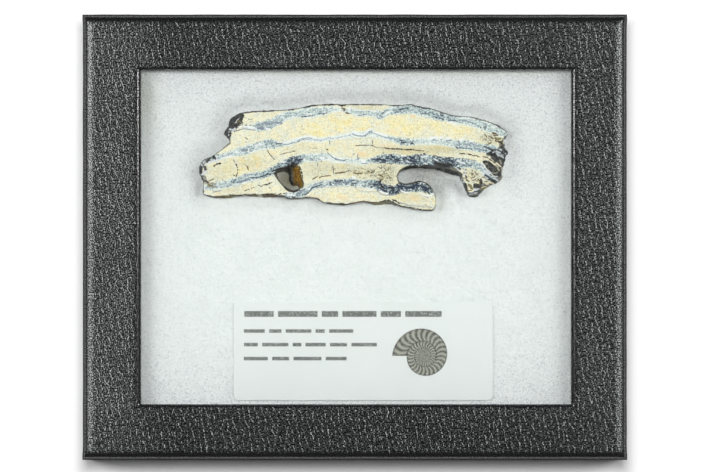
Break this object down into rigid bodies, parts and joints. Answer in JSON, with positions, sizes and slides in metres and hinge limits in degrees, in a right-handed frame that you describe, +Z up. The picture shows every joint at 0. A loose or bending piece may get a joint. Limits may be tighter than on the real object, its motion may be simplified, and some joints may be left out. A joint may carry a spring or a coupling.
{
  "type": "fossil mammoth tooth slice in a display case",
  "caption": "Sawn slice of a fossil mammoth tooth on white batting, with a label card, under glass in a shallow black cardboard case.",
  "frame": {"origin": "middle of the tray's underside, which is the middle of the case's footprint", "axes": "+X along the long side of the case, +Y across it, +Z up, out through the window"},
  "size_m": [0.1404, 0.115, 0.0191],
  "materials": {
    "leatherette": "black embossed leatherette paper over board, satin",
    "wrap_paper": "black wrapping paper over board, matt",
    "batting": "white fibre batting, matt",
    "glass": "clear, smooth",
    "card": "smooth white card",
    "fossil": "sawn and polished fossil dentine, cementum and enamel, satin"
  },
  "bodies": {
    "root": {"case_lid": "leatherette", "case_tray": "wrap_paper", "cotton_batting": "batting", "glass_pane": "glass", "label_card": "card", "tooth_slice": "fossil"}
  },
  "joints": []
}
